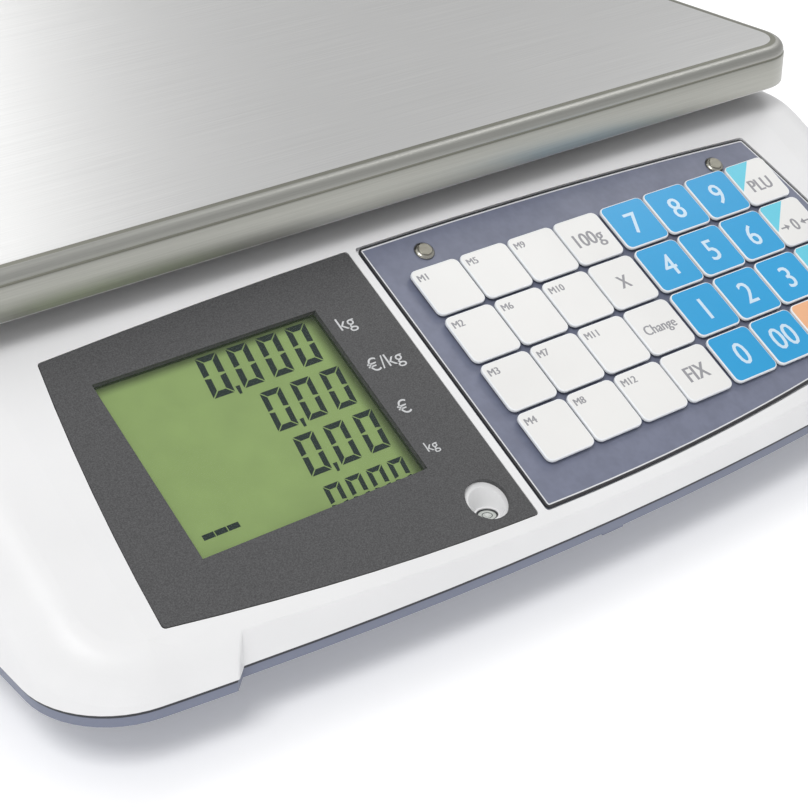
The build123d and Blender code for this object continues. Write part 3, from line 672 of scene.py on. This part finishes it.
# words, distance of their middle from the window's rear edge and capital height, in mm
UNIT_MARKS = (("kg", 7.2, 4.4), ("\u20ac/kg", 23.6, 4.4), ("\u20ac", 39.7, 4.4), ("kg", 54.2, 3.2))
UNIT_MARGIN = 3.6 * MM


def build_unit_marks():
    """Unit names printed on the bezel beside the display rows."""
    (_, wa1), (_, wb1), _ = extent("display_window")
    marks = Piece("unit_marks", on_panel)
    for words, down, height in UNIT_MARKS:
        spot = (wa1 + UNIT_MARGIN, wb1 - down * MM)
        marks.text(words, spot, height * MM, -INK_SINK, INK, "ink_light", 1.04, 0, "LEFT")
    marks.finish("chassis", "dark_bezel")


build_lcd()
build_unit_marks()


# ------------------------------------------------------------------ keypad cover, fasteners and level
def hull(points):
    """Convex outline of flat points, counter-clockwise."""
    points = sorted(set((round(x, 6), round(y, 6)) for x, y in points))

    def chain(ordered):
        kept = []
        for p in ordered:
            while len(kept) > 1:
                (ax, ay), (bx, by) = kept[-2:]
                if (bx - ax) * (p[1] - ay) - (by - ay) * (p[0] - ax) > 1e-12:
                    break
                kept.pop()
            kept.append(p)
        return kept[:-1]

    return chain(points) + chain(points[::-1])


def inset_outline(points, inset):
    """A convex outline moved inwards."""
    moved = []
    for i, (x, y) in enumerate(points):
        before, after = Vector(points[i - 1]), Vector(points[(i + 1) % len(points)])
        here = Vector((x, y))
        incoming, outgoing = (here - before).normalized(), (after - here).normalized()
        left = Vector((-incoming.y - outgoing.y, incoming.x + outgoing.x)).normalized()
        spread = max(0.5, left.dot(Vector((-incoming.y, incoming.x))))
        moved.append(tuple(here + left * inset / spread))
    return moved


def build_cover_edge():
    """The edge of the clear sheet over the keypad: a pale border of painted highlight, with a black ring of
    painted shade in the gap round it.
    """
    plate = nodes["keypad_plate"].data.vertices
    edge = hull([(v.co.dot(ACROSS), v.co.dot(UP)) for v in plate])
    rim = Piece("keypad_cover_edge", on_panel)
    # (inset, height) loops in mm
    # a black ring in the gap round the sheet stands for the shade there: painted shade
    gap_shade = [(-0.2, -0.6), (-0.2, 0.0), (0.1, 0.05), (0.55, 0.05), (0.6, -0.6)]
    # the pale border is a painted highlight on the sheet's edge
    border = [(0.5, -0.6), (0.5, 0.08), (0.58, 0.14), (0.86, 0.14), (0.94, 0.06), (0.94, -0.6)]
    for loop, material in ((gap_shade, "black_plastic"), (border, "cover_edge_painted_highlight")):
        rings = [[(x, y, h * MM) for x, y in inset_outline(edge, inset * MM)] for inset, h in loop]
        rim.rings(rings, material, smooth=False, close=True)
    rim.finish("chassis", "keypad_sheet")


def build_fasteners():
    """The two domed heads that hold the keypad sheet."""
    (a0, a1), _, (h0, h1) = extent("keypad_screws")
    heads = Piece("keypad_fasteners", on_panel)
    points = [(v.co.dot(ACROSS), v.co.dot(UP)) for v in nodes["keypad_screws"].data.vertices]
    middle = (a0 + a1) / 2
    for side in (-1, 1):
        mine = [p for p in points if (p[0] - middle) * side > 0]
        xs, ys = [p[0] for p in mine], [p[1] for p in mine]
        spot = ((min(xs) + max(xs)) / 2, (min(ys) + max(ys)) / 2)
        radius = (max(xs) - min(xs)) / 2
        shank = [(1.4 * MM, h0), (1.5 * MM, h0 + 0.3 * MM), (1.5 * MM, 0)]
        heads.disc(spot, shank, "steel", sides=20)
        dome = [(radius - 0.1 * MM, -0.02 * MM), (radius, 0.12 * MM), (radius - 0.08 * MM, 0.4 * MM),
                (radius - 0.5 * MM, 0.78 * MM), (radius - 0.95 * MM, h1 - 0.3 * MM)]
        heads.disc(spot, dome, "steel_rim", sides=40)
        crown = [(radius - 0.95 * MM, h1 - 0.34 * MM), (radius - 1.0 * MM, h1 - 0.12 * MM),
                 (radius - 1.25 * MM, h1)]
        heads.disc(spot, crown, "steel", sides=40)
    heads.finish("chassis", "steel_hardware", "keypad_screws")


def build_level():
    """The round bubble level, with its rim, its marked circle and its bubble."""
    low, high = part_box("level_vial")
    center = ((low.x + high.x) / 2, (low.y + high.y) / 2)
    radius = (high.x - low.x) / 2
    level = Piece("bubble_level")
    body = [(radius - 0.2 * MM, low.z), (radius, low.z + 0.2 * MM), (radius, high.z - 0.5 * MM),
            (radius - 0.15 * MM, high.z - 0.3 * MM), (radius - 0.45 * MM, high.z - 0.25 * MM)]
    level.disc(center, body, "vial_fluid", sides=48)
    ring = [(radius - 0.02 * MM, high.z - 0.4 * MM), (radius, high.z - 0.05 * MM),
            (radius - 0.3 * MM, high.z), (radius - 0.5 * MM, high.z - 0.1 * MM),
            (radius - 0.5 * MM, high.z - 0.4 * MM)]
    level.disc(center, ring, "black_plastic", sides=48, close=True)
    mark = [(1.55 * MM, high.z - 0.27 * MM), (1.55 * MM, high.z - 0.22 * MM),
            (1.35 * MM, high.z - 0.22 * MM), (1.35 * MM, high.z - 0.27 * MM)]
    level.disc(center, mark, "black_plastic", sides=40, close=True)
    bubble = [(0.9 * MM, high.z - 0.26 * MM), (0.8 * MM, high.z - 0.16 * MM), (0.5 * MM, high.z - 0.09 * MM),
              (0.1 * MM, high.z - 0.06 * MM)]
    level.disc((center[0] + 0.3 * MM, center[1] + 0.2 * MM), bubble, "bubble", sides=24)
    level.finish("chassis", "clear_window", "level_vial")


build_cover_edge()
build_fasteners()
build_level()


# ------------------------------------------------------------------ rear display
REAR_DIGITS = 5
REAR_LAST, REAR_PITCH = 30, 13
REAR_DIGIT_SIZE = (9 * MM, 19 * MM)
REAR_STROKE = 2.2 * MM


def build_rear_display():
    """The customer's display, seen through the window in the rear wall."""
    low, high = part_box("rear_lcd")
    middle, width, height = (low.x + high.x) / 2, high.x - low.x, high.z - low.z

    def on_rear(x, z, out):
        """x to the reader's right on the rear wall, out towards the customer."""
        return Vector((middle - x, high.y + out, z))

    rear = Piece("customer_display", on_rear)
    depth = high.y - low.y
    center = (0, (low.z + high.z) / 2)
    cell = [(0, -depth), (0, -0.1 * MM), (0.1 * MM, 0)]
    rear.plate(center, (width, height), 0.5 * MM, cell, "rear_lcd_face")
    for i in range(REAR_DIGITS):
        spot = ((REAR_LAST - REAR_PITCH * i) * MM, center[1])
        digit(rear, spot, *REAR_DIGIT_SIZE, REAR_STROKE, -INK_SINK, LCD_INK, "lcd_ink")
    rear.finish("chassis", "lcd_glass", "rear_lcd")


build_rear_display()

# ------------------------------------------------------------------ camera, light and floor
CAMERA_LENS, SENSOR_WIDTH, CLIP_START = 84.9, 36.0, 0.01
CAMERA_PLACE = (-0.33478, -0.50698, 0.32014)
CAMERA_DEGREES = (60.793, 0.154, -37.554)
SKY_STRENGTH = 0.55
AIM = (0, 0, 0.05)
FLOOR_REACH = 12.0
FLOOR_GLOW = 0.2

camera_data = bpy.data.cameras.new("camera")
camera_data.lens = CAMERA_LENS
camera_data.sensor_width = SENSOR_WIDTH
camera_data.clip_start = CLIP_START
camera = bpy.data.objects.new("camera", camera_data)
camera.location = CAMERA_PLACE
camera.rotation_euler = Euler([math.radians(x) for x in CAMERA_DEGREES], "XYZ")
bpy.context.scene.collection.objects.link(camera)
bpy.context.scene.camera = camera

world = bpy.data.worlds.new("studio")
world.use_nodes = True
world.node_tree.nodes["Background"].inputs["Color"].default_value = (1, 1, 1, 1)
world.node_tree.nodes["Background"].inputs["Strength"].default_value = SKY_STRENGTH
bpy.context.scene.world = world
bpy.context.scene.view_settings.view_transform = "Standard"


def area_light(name, location, size, power):
    """A rectangular lamp aimed at the middle of the scale."""
    data = bpy.data.lights.new(name, "AREA")
    data.shape = "RECTANGLE"
    data.size, data.size_y = size
    data.energy = power
    light = bpy.data.objects.new(name, data)
    light.location = location
    light.rotation_euler = (Vector(AIM) - Vector(location)).to_track_quat("-Z", "Y").to_euler()
    bpy.context.scene.collection.objects.link(light)


area_light("key_light", (1.1, 0.3, 1.3), (0.6, 0.6), 4.5)
area_light("front_light", (-0.85, -0.7, 1.6), (0.7, 0.7), 15.5)
area_light("back_light", (-0.2, 2.0, 1.0), (2.3, 1.4), 15)

floor_mesh = bpy.data.meshes.new("floor")
corners = [(x * FLOOR_REACH, y * FLOOR_REACH, 0) for x, y in ((-1, -1), (1, -1), (1, 1), (-1, 1))]
floor_mesh.from_pydata(corners, [], [(0, 1, 2, 3)])
floor = bpy.data.objects.new("floor", floor_mesh)
floor_look = Graph("floor", (0.93, 0.93, 0.94), 0.6, Emission_Strength=FLOOR_GLOW)
floor_look.set("Emission Color", (1, 1, 1, 1))
floor_look.tint(floor_look.noise(0.5), 0.99, 1.01)
floor_mesh.materials.append(floor_look.mat)
bpy.context.scene.collection.objects.link(floor)
